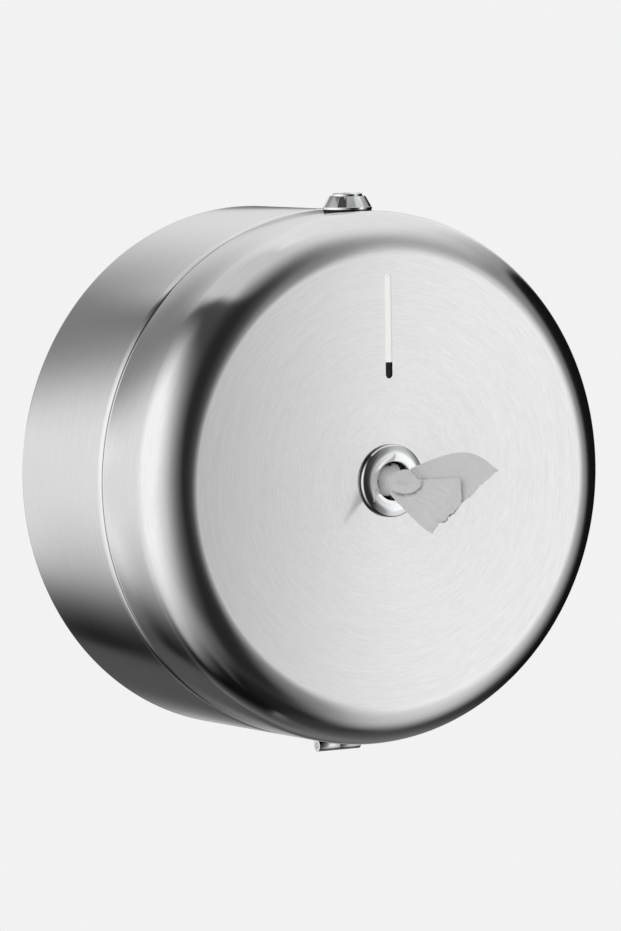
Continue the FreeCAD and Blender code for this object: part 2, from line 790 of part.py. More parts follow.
def lock_body():
    """Lock barrel with a round head, which clamps the collar to the cover."""
    body = lock_part("lock_body")
    profile = sketch_on(body, "YZ_Plane")
    bore = "plug_radius + plug_clearance"
    well = "plug_head_radius + plug_clearance"
    outline(profile, [
        (bore, "barrel_end"),
        ("barrel_radius", "barrel_end"),
        ("barrel_radius", "bezel_height"),
        ("head_radius", "bezel_height"),
        ("head_radius", "bezel_height + head_height - head_chamfer"),
        ("head_radius - head_chamfer", "bezel_height + head_height"),
        (well, "bezel_height + head_height"),
        (well, "plug_seat - plug_clearance"),
        (bore, "plug_seat - plug_clearance"),
    ])
    revolve(body, profile, "Z_Axis")
    return body


def lock_gasket():
    """Rubber ring under the collar, with its underside moulded to the drum."""
    body = lock_part("lock_gasket")
    ring = sketch_on(body, "XY_Plane", "bezel_lift")
    circle(ring, "bezel_base_radius - gasket_ring_inset")
    circle(ring, "barrel_radius + barrel_clearance")
    pad(body, ring, "bezel_lift + saddle_depth", reverse=True)
    curve = sketch_on(body, "XZ_Plane")
    circle(curve, "case_radius", "0", "-case_radius")
    pocket(body, curve, symmetric=True)
    return body


def lock_saddle():
    """Rubber ring whose top is moulded to the inside of the cover."""
    body = lock_part("lock_saddle")
    ring = sketch_on(body, "XY_Plane", "saddle_bottom")
    circle(ring, "saddle_radius")
    circle(ring, "barrel_radius + barrel_clearance")
    pad(body, ring, "saddle_depth")
    curve = sketch_on(body, "XZ_Plane")
    circle(curve, "case_radius + cut_overrun", "0", "-case_radius")
    circle(curve, "inner_radius", "0", "-case_radius")
    pocket(body, curve, symmetric=True)
    return body


def lock_nut():
    """Hexagon nut on the lock barrel."""
    body = lock_part("lock_nut")
    hex_prism(body, "lock_nut_flats", "lock_nut_height", "saddle_bottom - lock_nut_height")
    hole = sketch_on(body, "XY_Plane", "saddle_bottom")
    circle(hole, "barrel_radius + pin_clearance")
    pocket(body, hole)
    return body


def lock_plug():
    """Turning plug with a keyway on top and a square shank below for the cam."""
    body = lock_part("lock_plug")
    profile = sketch_on(body, "YZ_Plane")
    outline(profile, [
        ("0", "plug_shoulder"),
        ("plug_radius", "plug_shoulder"),
        ("plug_radius", "plug_seat"),
        ("plug_head_radius", "plug_seat"),
        ("plug_head_radius", "plug_top"),
        ("0", "plug_top"),
    ])
    revolve(body, profile, "Z_Axis")
    shank = sketch_on(body, "XY_Plane", "plug_shoulder")
    rectangle(shank, "-shank_half_width", "shank_half_width", "-shank_half_width", "shank_half_width")
    pad(body, shank, "cam_thickness - shank_shortfall", reverse=True)
    keyway = sketch_on(body, "XY_Plane", "plug_top")
    rectangle(keyway, "-keyway_width / 2", "keyway_width / 2", "-keyway_length / 2", "keyway_length / 2")
    pocket(body, keyway, "keyway_depth")
    screw_hole = sketch_on(body, "XY_Plane", "cam_bottom")
    circle(screw_hole, "cam_screw_radius + cam_screw_clearance")
    pocket(body, screw_hole, "cam_screw_length + cam_screw_clearance", reverse=True)
    return body


def lock_cam():
    """Flat cam on the plug's shank, which points at the wall when the lock is open."""
    body = lock_part("lock_cam")
    plate = sketch_on(body, "XY_Plane", "cam_bottom")
    round_ended(plate, "cam_half_width", "0", "cam_reach - cam_half_width")
    rectangle(plate, "-(shank_half_width + shank_clearance)", "shank_half_width + shank_clearance",
              "-(shank_half_width + shank_clearance)", "shank_half_width + shank_clearance")
    pad(body, plate, "cam_thickness")
    return body


def cam_washer():
    """Washer under the cam."""
    body = lock_part("cam_washer")
    ring = sketch_on(body, "XY_Plane", "cam_bottom")
    circle(ring, "cam_washer_radius")
    circle(ring, "cam_screw_radius + cam_screw_clearance")
    pad(body, ring, "cam_washer_thickness", reverse=True)
    return body


def cam_screw():
    """Pan-head screw that holds the cam on the plug."""
    body = lock_part("cam_screw")
    profile = sketch_on(body, "YZ_Plane")
    seat = "cam_bottom - cam_washer_thickness"
    outline(profile, [
        ("0", "%s - cam_screw_head_height" % seat),
        ("cam_screw_head_radius", "%s - cam_screw_head_height" % seat),
        ("cam_screw_head_radius", seat),
        ("cam_screw_radius", seat),
        ("cam_screw_radius", "%s + cam_screw_length" % seat),
        ("0", "%s + cam_screw_length" % seat),
    ])
    revolve(body, profile, "Z_Axis")
    return body


# Tissue

def lens_outline(sketch, centre, half_width, half_thickness, angle):
    """Draws a flattened section: two arcs that meet at the ends of its long side."""
    across, up = centre
    bulge = "((%s)^2 + (%s)^2) / (2 * (%s))" % (half_width, half_thickness, half_thickness)
    far = "%s + (%s) * cos(%s)" % (across, half_width, angle), "%s + (%s) * sin(%s)" % (up, half_width, angle)
    near = "%s - (%s) * cos(%s)" % (across, half_width, angle), "%s - (%s) * sin(%s)" % (up, half_width, angle)
    outline(sketch, [near + (bulge, "left"), far + (bulge, "left")])


def paper_tail():
    """Tail of tissue: gathered in the nozzle, swollen in front of it, then spread and torn off."""
    body = new_body("paper_tail")
    sections = []
    root_width_share, root_depth_share, root_angle = TAIL_ROOT_SHARES
    root = sketch_on(body, "XZ_Plane", "nozzle_front - tail_root_inset")
    lens_outline(root, ("0", "0"), "%s * tail_reach" % root_width_share,
                 "%s * tail_reach" % root_depth_share, root_angle)
    sections.append(root)
    for forward, across, up, half_width, half_thickness, angle in TAIL_SECTION_SHARES:
        section = sketch_on(body, "XZ_Plane", "nozzle_front + %s * tail_reach" % forward)
        place = ("%s * tail_reach" % across, "%s * tail_reach" % up)
        lens_outline(section, place, "%s * tail_reach" % half_width,
                     "%s * tail_reach" % half_thickness, angle)
        sections.append(section)
    loft = body.newObject("PartDesign::AdditiveLoft", "tail_loft")
    loft.Profile = sections[0]
    loft.Sections = sections[1:]
    loft.Ruled = True
    check(loft, body, grows=True)
    return body


PIECES = (
    rear_case, roll_cradle, strike_bracket, hinge_leaf_rear, hinge_pin, paper_roll,
    front_cover, hinge_leaf_cover, window_lens, window_frame, window_studs, window_push_nuts,
    nozzle_bezel, nozzle_gasket, nozzle_nut, nozzle_guide,
    lock_bezel, lock_body, lock_gasket, lock_saddle, lock_nut, paper_tail,
    lock_plug, lock_cam, cam_washer, cam_screw,
)


def build():
    """Builds every piece, checks the document and writes one file for each piece."""
    bodies = [piece() for piece in PIECES]
    doc.recompute()
    for thing in doc.Objects:
        if "Invalid" in thing.State or "Error" in thing.State:
            raise SystemExit(thing.Label + " failed: " + ", ".join(thing.State))
    for body in bodies:
        if body.Shape.isNull() or not body.Shape.isValid():
            raise SystemExit(body.Label + " has no valid shape")
    for body in bodies:
        body.Shape.exportStep("parts/" + body.Label + ".step")
        print(body.Label, len(body.Shape.Solids), round(body.Shape.Volume, 1))


build()
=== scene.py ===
"""Looks of a round, wall-mounted centre-pull toilet paper dispenser in brushed stainless steel.

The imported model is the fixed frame. Sizes in the classes are millimetres and are turned to metres
where a mesh is made. +Z is up, the front faces -Y, and a depth is a distance in front of the wall.
"""

import logging
import math
from dataclasses import dataclass
from enum import Enum
from typing import Any, Sequence

import bmesh
import bpy
from bmesh.types import BMesh, BMVert
from bpy.types import Material, Node, NodeSocket, NodeTree, Object
from mathutils import Matrix, Vector, noise


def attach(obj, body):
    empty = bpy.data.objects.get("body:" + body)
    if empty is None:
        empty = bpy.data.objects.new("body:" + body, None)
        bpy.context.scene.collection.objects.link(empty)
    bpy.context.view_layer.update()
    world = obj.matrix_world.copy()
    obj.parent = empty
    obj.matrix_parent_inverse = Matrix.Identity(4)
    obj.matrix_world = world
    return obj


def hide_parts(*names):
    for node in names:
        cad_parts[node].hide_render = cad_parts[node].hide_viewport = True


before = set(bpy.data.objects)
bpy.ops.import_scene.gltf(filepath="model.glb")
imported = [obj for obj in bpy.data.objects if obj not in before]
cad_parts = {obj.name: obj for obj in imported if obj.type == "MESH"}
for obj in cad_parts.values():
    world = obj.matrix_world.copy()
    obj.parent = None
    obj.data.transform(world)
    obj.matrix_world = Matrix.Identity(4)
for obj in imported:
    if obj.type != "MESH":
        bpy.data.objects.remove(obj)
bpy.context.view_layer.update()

log = logging.getLogger("dispenser")

MM = 0.001
FULL_TURN = 2 * math.pi
TINY = 1e-6     # keeps a division from failing
WELD = 1e-6     # metres within which two points are one
FLAT = 0.5      # degrees under which two faces are one
SHARP = 32.0    # degrees past which an edge of metal or plastic is sharp
CREASED = 80.0  # the same for tissue
DRUM_AXIS = Vector((0, 1, 0))
UPWARD = Vector((0, 0, 1))

Pair = tuple[float, float]
Triple = tuple[float, float, float]
Colour = tuple[float, float, float, float]
Inputs = dict[str | int, Any]


class Body(Enum):
    """The moving bodies of the frame."""

    CASE = "root"
    COVER = "cover"
    PLUG = "plug"


class Slot(Enum):
    """The record's material slots."""

    STAINLESS = "stainless"
    CHROME = "polished_chrome"
    ZINC = "steel_pin"
    ACRYLIC = "opal_acrylic"
    PLASTIC = "black_plastic"
    RUBBER = "black_rubber"
    TISSUE = "tissue"


# Nodes and colours


def linear(code: str) -> Colour:
    """Turns an sRGB hex colour to the linear values that a node takes.

    Args:
        code: The colour as #RRGGBB.

    Returns:
        Linear red, green and blue, and an alpha of 1.
    """
    channels = [int(code[i:i + 2], 16) / 255 for i in (1, 3, 5)]
    red, green, blue = (c / 12.92 if c <= 0.04045 else ((c + 0.055) / 1.055) ** 2.4
                        for c in channels)
    return red, green, blue, 1.0


def add_node(tree: NodeTree, kind: str, settings: dict[str, Any] | None = None,
             inputs: Inputs | None = None) -> Node:
    """Adds a node with its settings and links.

    Args:
        tree: The tree that gets the node.
        kind: The node's type, without the leading ShaderNode.
        settings: Values of the node's own properties.
        inputs: For each socket, by name or number, a value or the output socket that feeds it.

    Returns:
        The new node.
    """
    node = tree.nodes.new("ShaderNode" + kind)
    for name, value in (settings or {}).items():
        setattr(node, name, value)
    for name, value in (inputs or {}).items():
        if isinstance(value, NodeSocket):
            tree.links.new(value, node.inputs[name])
        else:
            node.inputs[name].default_value = value
    return node


def set_tones(node: Node, places: Pair, codes: tuple[str, str]) -> None:
    """Sets the places and the hex colours of a colour ramp's two ends."""
    for end, place, code in zip(node.color_ramp.elements, places, codes):
        end.position, end.color = place, linear(code)


def new_material(name: str) -> tuple[Material, NodeTree, NodeSocket]:
    """Makes a node material that holds nothing but its coordinates.

    Args:
        name: The finish's name.

    Returns:
        The material, its node tree and the place on the object that its patterns read.
    """
    material = bpy.data.materials.new(name)
    material.use_nodes = True
    tree = material.node_tree
    tree.nodes.clear()
    return material, tree, add_node(tree, "TexCoord").outputs["Object"]


def surface(tree: NodeTree, inputs: Inputs) -> None:
    """Adds the surface shader, with its sockets' values and links, and the output."""
    shader = add_node(tree, "BsdfPrincipled", inputs=inputs)
    add_node(tree, "OutputMaterial", inputs={"Surface": shader.outputs[0]})


# Finishes


@dataclass(frozen=True)
class BrushedStainless:
    """Stainless steel 304, drawn and then brushed while it turns, so fine marks run round the axis.

    The marks spread reflections across themselves, and give pale grey faces with soft streaks.
    """

    name: str = "stainless_304_brushed"
    light: str = "#E8E8E8"
    dark: str = "#E1E1E1"
    tones: Pair = (0.35, 0.65)
    mark_mm: float = 0.6  # drawn coarser than the real 0.1 mm, so that it shows
    mark_arcs: float = 14.0
    mark_share: float = 0.75
    streak_mm: float = 2.4
    streak_arcs: float = 2.0
    break_up: float = 0.6
    smooth: float = 0.12
    rough: float = 0.15
    gloss_tones: Pair = (0.3, 0.7)
    spread: float = 0.6
    spread_turn: float = 0.25  # of a full turn: across the marks
    bump: float = 0.25
    bump_mm: float = 0.003

    def marks(self, tree: NodeTree, place: Sequence[NodeSocket], width: float, arcs: float,
              detail: float) -> NodeSocket:
        """Adds a pattern of marks that run round the drum's axis.

        Args:
            tree: The material's tree.
            place: Distance from the axis, place along it, and the way out, across and up.
            width: A mark's width in millimetres.
            arcs: How fast the pattern changes on its way round.
            detail: How finely it breaks up.

        Returns:
            The pattern, from 0 to 1.
        """
        fine = 1 / (width * MM)
        out, along, across, up = (
            add_node(tree, "Math", {"operation": "MULTIPLY"}, {0: value, 1: scale}).outputs[0]
            for value, scale in zip(place, (fine, fine, arcs, arcs)))
        vector = add_node(tree, "CombineXYZ", inputs={0: out, 1: along, 2: across}).outputs[0]
        return add_node(tree, "TexNoise", {"noise_dimensions": "4D"}, {
            "Vector": vector, "W": up, "Scale": 1.0, "Detail": detail,
            "Roughness": self.break_up}).outputs[0]

    def build(self) -> Material:
        """Builds the finish.

        Returns:
            The material.
        """
        material, tree, place = new_material(self.name)
        x, y, z = add_node(tree, "SeparateXYZ", inputs={0: place}).outputs
        flat = add_node(tree, "CombineXYZ", inputs={0: x, 2: z}).outputs[0]
        radius = add_node(tree, "VectorMath", {"operation": "LENGTH"}, {0: flat}).outputs["Value"]
        outward = add_node(tree, "VectorMath", {"operation": "NORMALIZE"}, {0: flat}).outputs[0]
        across, _, up = add_node(tree, "SeparateXYZ", inputs={0: outward}).outputs
        around = (radius, y, across, up)
        marks = self.marks(tree, around, self.mark_mm, self.mark_arcs, 3.0)
        streaks = self.marks(tree, around, self.streak_mm, self.streak_arcs, 2.0)
        both: Any = 0.0
        for pattern, share in ((marks, self.mark_share), (streaks, 1 - self.mark_share)):
            both = add_node(tree, "Math", {"operation": "MULTIPLY_ADD"},
                            {0: pattern, 1: share, 2: both}).outputs[0]
        colour = add_node(tree, "ValToRGB", inputs={0: both})
        set_tones(colour, self.tones, (self.dark, self.light))
        rough = add_node(tree, "MapRange", inputs={
            "Value": both, "From Min": self.gloss_tones[0], "From Max": self.gloss_tones[1],
            "To Min": self.rough, "To Max": self.smooth}).outputs[0]
        bump = add_node(tree, "Bump", inputs={
            "Strength": self.bump, "Distance": self.bump_mm * MM, "Height": marks}).outputs[0]
        down = add_node(tree, "Math", {"operation": "MULTIPLY"}, {0: x, 1: -1.0}).outputs[0]
        circular = add_node(tree, "CombineXYZ", inputs={0: z, 2: down}).outputs[0]
        tangent = add_node(tree, "VectorTransform", {
            "vector_type": "VECTOR", "convert_from": "OBJECT", "convert_to": "WORLD"},
            {0: circular}).outputs[0]
        surface(tree, {"Base Color": colour.outputs[0], "Metallic": 1.0, "Roughness": rough,
                       "Anisotropic": self.spread, "Anisotropic Rotation": self.spread_turn,
                       "Tangent": tangent, "Normal": bump})
        return material


@dataclass(frozen=True)
class Grained:
    """A finish whose gloss varies with a fine grain."""

    name: str
    colour: str
    smooth: float
    rough: float
    grain_mm: float
    bump_mm: float = 0.0
    metallic: float = 0.0
    detail: float = 2.0
    tones: Pair = (0.0, 1.0)
    bump: float = 0.4
    glow: float = 0.0

    def build(self) -> Material:
        """Builds the finish.

        Returns:
            The material.
        """
        material, tree, place = new_material(self.name)
        grain = add_node(tree, "TexNoise", inputs={
            "Vector": place, "Scale": 1 / (self.grain_mm * MM), "Detail": self.detail}).outputs[0]
        rough = add_node(tree, "MapRange", inputs={
            "Value": grain, "From Min": self.tones[0], "From Max": self.tones[1],
            "To Min": self.smooth, "To Max": self.rough}).outputs[0]
        inputs: Inputs = {"Base Color": linear(self.colour), "Metallic": self.metallic,
                          "Roughness": rough}
        if self.bump_mm:
            inputs["Normal"] = add_node(tree, "Bump", inputs={
                "Strength": self.bump, "Distance": self.bump_mm * MM, "Height": grain}).outputs[0]
        # painted glow: emission in the finish's own colour, on a part that is no lamp
        if self.glow:
            inputs.update({"Emission Color": linear(self.colour), "Emission Strength": self.glow})
        surface(tree, inputs)
        return material


@dataclass(frozen=True)
class PolishedMetal(Grained):
    """Brass or cast zinc with polished chrome plate, or zinc-plated steel: smooth, faint smears."""

    metallic: float = 1.0
    detail: float = 3.0
    tones: Pair = (0.35, 0.65)
    bump: float = 0.2


@dataclass(frozen=True)
class Moulding(Grained):
    """Moulded ABS or rubber: matt, with the fine grain of the mould."""


@dataclass(frozen=True)
class OpalAcrylic(Grained):
    """Cast opal acrylic sheet: milky white and satin. The light that it scatters from all over its
    face reaches the slot, and a small painted glow, emission on a part that is no lamp, stands in
    for it, so the slot reads as a white line."""

    # painted glow that lights the recessed slot to white
    glow: float = 0.55


@dataclass(frozen=True)
class TissuePaper:
    """Creped cellulose tissue: soft and matt, with fine crepe lines and fibres. A small painted
    glow stands in for the light that passes through a thin sheet, and is weaker deep in its folds,
    which paints shade into them."""

    name: str
    light: str = "#FAFAFA"
    dark: str = "#F0F0F0"
    tones: Pair = (0.3, 0.7)
    fibre_mm: float = 2.5
    crepe_mm: float = 0.9  # drawn coarser than the real 0.3 mm
    bump: float = 0.35
    bump_mm: float = 0.15
    matt: float = 0.92
    specular: float = 0.2
    sheen: float = 0.15
    glow: float = 0.0
    fold_mm: float = 6.0
    fold_tones: Pair = (0.35, 0.95)
    layered: bool = False  # crepe lines that follow the layers of a roll

    def build(self) -> Material:
        """Builds the finish.

        Returns:
            The material.
        """
        material, tree, place = new_material(self.name)
        fibres = add_node(tree, "TexNoise", inputs={
            "Vector": place, "Scale": 1 / (self.fibre_mm * MM), "Detail": 5.0,
            "Roughness": 0.65}).outputs[0]
        lines, detail = place, 3.0
        if self.layered:
            x, _, z = add_node(tree, "SeparateXYZ", inputs={0: place}).outputs
            flat = add_node(tree, "CombineXYZ", inputs={0: x, 2: z}).outputs[0]
            radius = add_node(tree, "VectorMath", {"operation": "LENGTH"}, {0: flat})
            lines = add_node(tree, "CombineXYZ", inputs={0: radius.outputs["Value"]}).outputs[0]
            detail = 2.0
        crepe = add_node(tree, "TexNoise", inputs={
            "Vector": lines, "Scale": 1 / (self.crepe_mm * MM), "Detail": detail}).outputs[0]
        shade = add_node(tree, "ValToRGB", inputs={0: fibres})
        set_tones(shade, self.tones, (self.dark, self.light))
        bump = add_node(tree, "Bump", inputs={
            "Strength": self.bump, "Distance": self.bump_mm * MM, "Height": crepe}).outputs[0]
        glow: Any = 0.0
        # painted glow, with painted shade in the folds: ambient occlusion dims the glow where the
        # sheet folds
        if self.glow:
            clear = add_node(tree, "AmbientOcclusion", {"samples": 12},
                             {"Distance": self.fold_mm * MM}).outputs["AO"]
            glow = add_node(tree, "MapRange", inputs={
                "Value": clear, "From Min": self.fold_tones[0], "From Max": self.fold_tones[1],
                "To Min": 0.0, "To Max": self.glow}).outputs[0]
        surface(tree, {"Base Color": shade.outputs[0], "Roughness": self.matt,
                       "Specular IOR Level": self.specular, "Sheen Weight": self.sheen,
                       "Emission Color": linear(self.light), "Emission Strength": glow,
                       "Normal": bump})
        return material


class Palette:
    """The finishes, by the record's slot or by the node that one is for."""

    def __init__(self) -> None:
        """Makes the materials."""
        self.finishes: dict[Slot | str, Material] = {
            Slot.STAINLESS: BrushedStainless().build(),
            Slot.CHROME: PolishedMetal(
                "chrome_polished", "#F0F1F2", 0.04, 0.09, 6.0, 0.002).build(),
            Slot.ZINC: PolishedMetal("steel_zinc_plated", "#C2C3C4", 0.28, 0.42, 1.2, 0.01).build(),
            Slot.ACRYLIC: OpalAcrylic("acrylic_opal", "#F7F7F5", 0.25, 0.4, 3.0).build(),
            Slot.PLASTIC: Moulding("abs_black_moulded", "#1B1B1D", 0.42, 0.55, 0.35, 0.02).build(),
            Slot.RUBBER: Moulding("rubber_black_moulded", "#161616", 0.7, 0.85, 0.5, 0.02).build(),
            Slot.TISSUE: TissuePaper("tissue_creped", glow=0.15).build(),
            "paper_roll": TissuePaper("tissue_roll_layers", layered=True).build(),
        }


# Meshes


@dataclass(frozen=True)
class Corner:
    """A corner of a section: distance out from the axis, distance along it, and its rounding."""

    out: float
    along: float
    rounding: float = 0.0
    steps: int = 5


def ramp(value: float, start: float, length: float) -> float:
    """How far a value is along a stretch, from 0 at its start to 1."""
    return min(max((value - start) / length, 0.0), 1.0)


def frame_point(across: float, depth: float, up: float) -> Vector:
    """A point in the frame, from millimetres to the right, in front of the wall, and up."""
    return Vector((across, -depth, up)) * MM


def to_object(mesh: BMesh, name: str) -> Object:
    """Turns a bmesh into an object in the scene.

    Args:
        mesh: The bmesh, which is freed.
        name: The object's name.

    Returns:
        The object, at the origin.
    """
    data = bpy.data.meshes.new(name)
    mesh.to_mesh(data)
    mesh.free()
    thing = bpy.data.objects.new(name, data)
    bpy.context.scene.collection.objects.link(thing)
    return thing


def settle(thing: Object, limit: float = SHARP) -> Object:
    """Applies an object's modifiers to its mesh and shades it by angle.

    Args:
        thing: The object.
        limit: The angle in degrees past which an edge is sharp.

    Returns:
        The same object, without modifiers.
    """
    bpy.context.view_layer.update()
    evaluated = thing.evaluated_get(bpy.context.evaluated_depsgraph_get())
    final = bpy.data.meshes.new_from_object(evaluated)
    final.name = thing.name
    thing.modifiers.clear()
    thing.data = final
    mesh = bmesh.new()
    mesh.from_mesh(final)
    for face in mesh.faces:
        face.smooth = True
    for edge in mesh.edges:
        edge.smooth = (len(edge.link_faces) == 2
                       and edge.calc_face_angle(0.0) < math.radians(limit))
    mesh.to_mesh(final)
    mesh.free()
    return thing


def turned(name: str, corners: Sequence[Corner], steps: int, closed: bool = True) -> Object:
    """Draws a section, rounds its corners and turns it right round the drum's axis.

    Args:
        name: The piece's name.
        corners: The section's corners in order.
        steps: How many steps make the turn.
        closed: Whether the last corner joins the first.

    Returns:
        The turned piece.
    """
    mesh = bmesh.new()
    points = [mesh.verts.new(frame_point(0.0, corner.along, corner.out)) for corner in corners]
    for first, second in zip(points, points[1:] + (points[:1] if closed else [])):
        mesh.edges.new((first, second))
    for point, corner in zip(points, corners):
        if corner.rounding:
            bmesh.ops.bevel(mesh, geom=[point], offset=corner.rounding * MM, offset_type="OFFSET",
                            segments=corner.steps, profile=0.5, affect="VERTICES", material=-1)
    bmesh.ops.spin(mesh, geom=mesh.verts[:] + mesh.edges[:], cent=Vector(), axis=DRUM_AXIS,
                   angle=FULL_TURN, steps=steps, use_merge=True)
    bmesh.ops.remove_doubles(mesh, verts=mesh.verts, dist=WELD)
    bmesh.ops.recalc_face_normals(mesh, faces=mesh.faces)
    return to_object(mesh, name)


def cut(thing: Object, cutter: BMesh) -> None:
    """Cuts one mesh out of another.

    Args:
        thing: The object that is cut.
        cutter: A closed mesh, which is freed.
    """
    bmesh.ops.recalc_face_normals(cutter, faces=cutter.faces)
    tool = to_object(cutter, thing.name + "_tool")
    difference = thing.modifiers.new("cut", "BOOLEAN")
    difference.operation, difference.solver, difference.object = "DIFFERENCE", "EXACT", tool
    settle(thing)
    bpy.data.objects.remove(tool)


def block(low: Triple, high: Triple) -> BMesh:
    """Makes a box.

    Args:
        low: Its left, rear and lower ends in millimetres (across, depth, up).
        high: Its right, front and upper ends.

    Returns:
        The closed mesh.
    """
    mesh = bmesh.new()
    centre = Matrix.Translation(frame_point(*(a + b for a, b in zip(low, high))) / 2)
    sides = Vector([b - a for a, b in zip(low, high)]) * MM
    bmesh.ops.create_cube(mesh, size=1.0, matrix=centre @ Matrix.Diagonal(sides.to_4d()))
    return mesh


def rod(centre: Triple, radius: float, length: float, along: Vector, segments: int) -> BMesh:
    """Makes a round rod.

    Args:
        centre: Its middle, in millimetres (across, depth, up).
        radius: Its radius in millimetres.
        length: Its length in millimetres.
        along: The way it points.
        segments: How many sides it has.

    Returns:
        The closed mesh.
    """
    mesh = bmesh.new()
    turn = along.to_track_quat("Z", "Y").to_matrix().to_4x4()
    bmesh.ops.create_cone(mesh, cap_ends=True, cap_tris=False, segments=segments,
                          radius1=radius * MM, radius2=radius * MM, depth=length * MM,
                          matrix=Matrix.Translation(frame_point(*centre)) @ turn)
    return mesh


# The object


@dataclass
class Assembly:
    """A sub-assembly, and the finishes that dress it."""

    palette: Palette

    def dress(self, thing: Object, slot: Slot, node: str, body: Body = Body.COVER) -> None:
        """Dresses a piece, sets it on its body and hides the node of the frame that it replaces.

        Args:
            thing: The piece.
            slot: The record's slot of its finish.
            node: The node of the frame that it replaces.
            body: The body that it moves with.
        """
        finishes = self.palette.finishes
        thing.data.materials.clear()
        thing.data.materials.append(finishes.get(node, finishes[slot]))
        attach(thing, body.value)
        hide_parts(node)
        log.info("%s: %d faces", thing.name, len(thing.data.polygons))

    def fit(self, node: str, slot: Slot, body: Body = Body.COVER, edge_mm: float = 0.0,
            limit: float = SHARP) -> None:
        """Makes and dresses a piece that keeps its node's own shape, with its edges broken.

        Args:
            node: The node's name.
            slot: The record's slot of its finish.
            body: The body that it moves with.
            edge_mm: How much its sharp edges are broken.
            limit: The angle in degrees past which an edge is sharp.
        """
        mesh = bmesh.new()
        mesh.from_mesh(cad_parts[node].data)
        bmesh.ops.remove_doubles(mesh, verts=mesh.verts, dist=WELD)
        bmesh.ops.dissolve_limit(mesh, angle_limit=math.radians(FLAT), verts=mesh.verts,
                                 edges=mesh.edges, use_dissolve_boundaries=False, delimit=set())
        thing = to_object(mesh, node + "_piece")
        if edge_mm:
            soften = thing.modifiers.new("soften", "BEVEL")
            soften.width, soften.segments, soften.limit_method = edge_mm * MM, 2, "ANGLE"
            soften.angle_limit = math.radians(limit)
        self.dress(settle(thing, limit), slot, node, body)


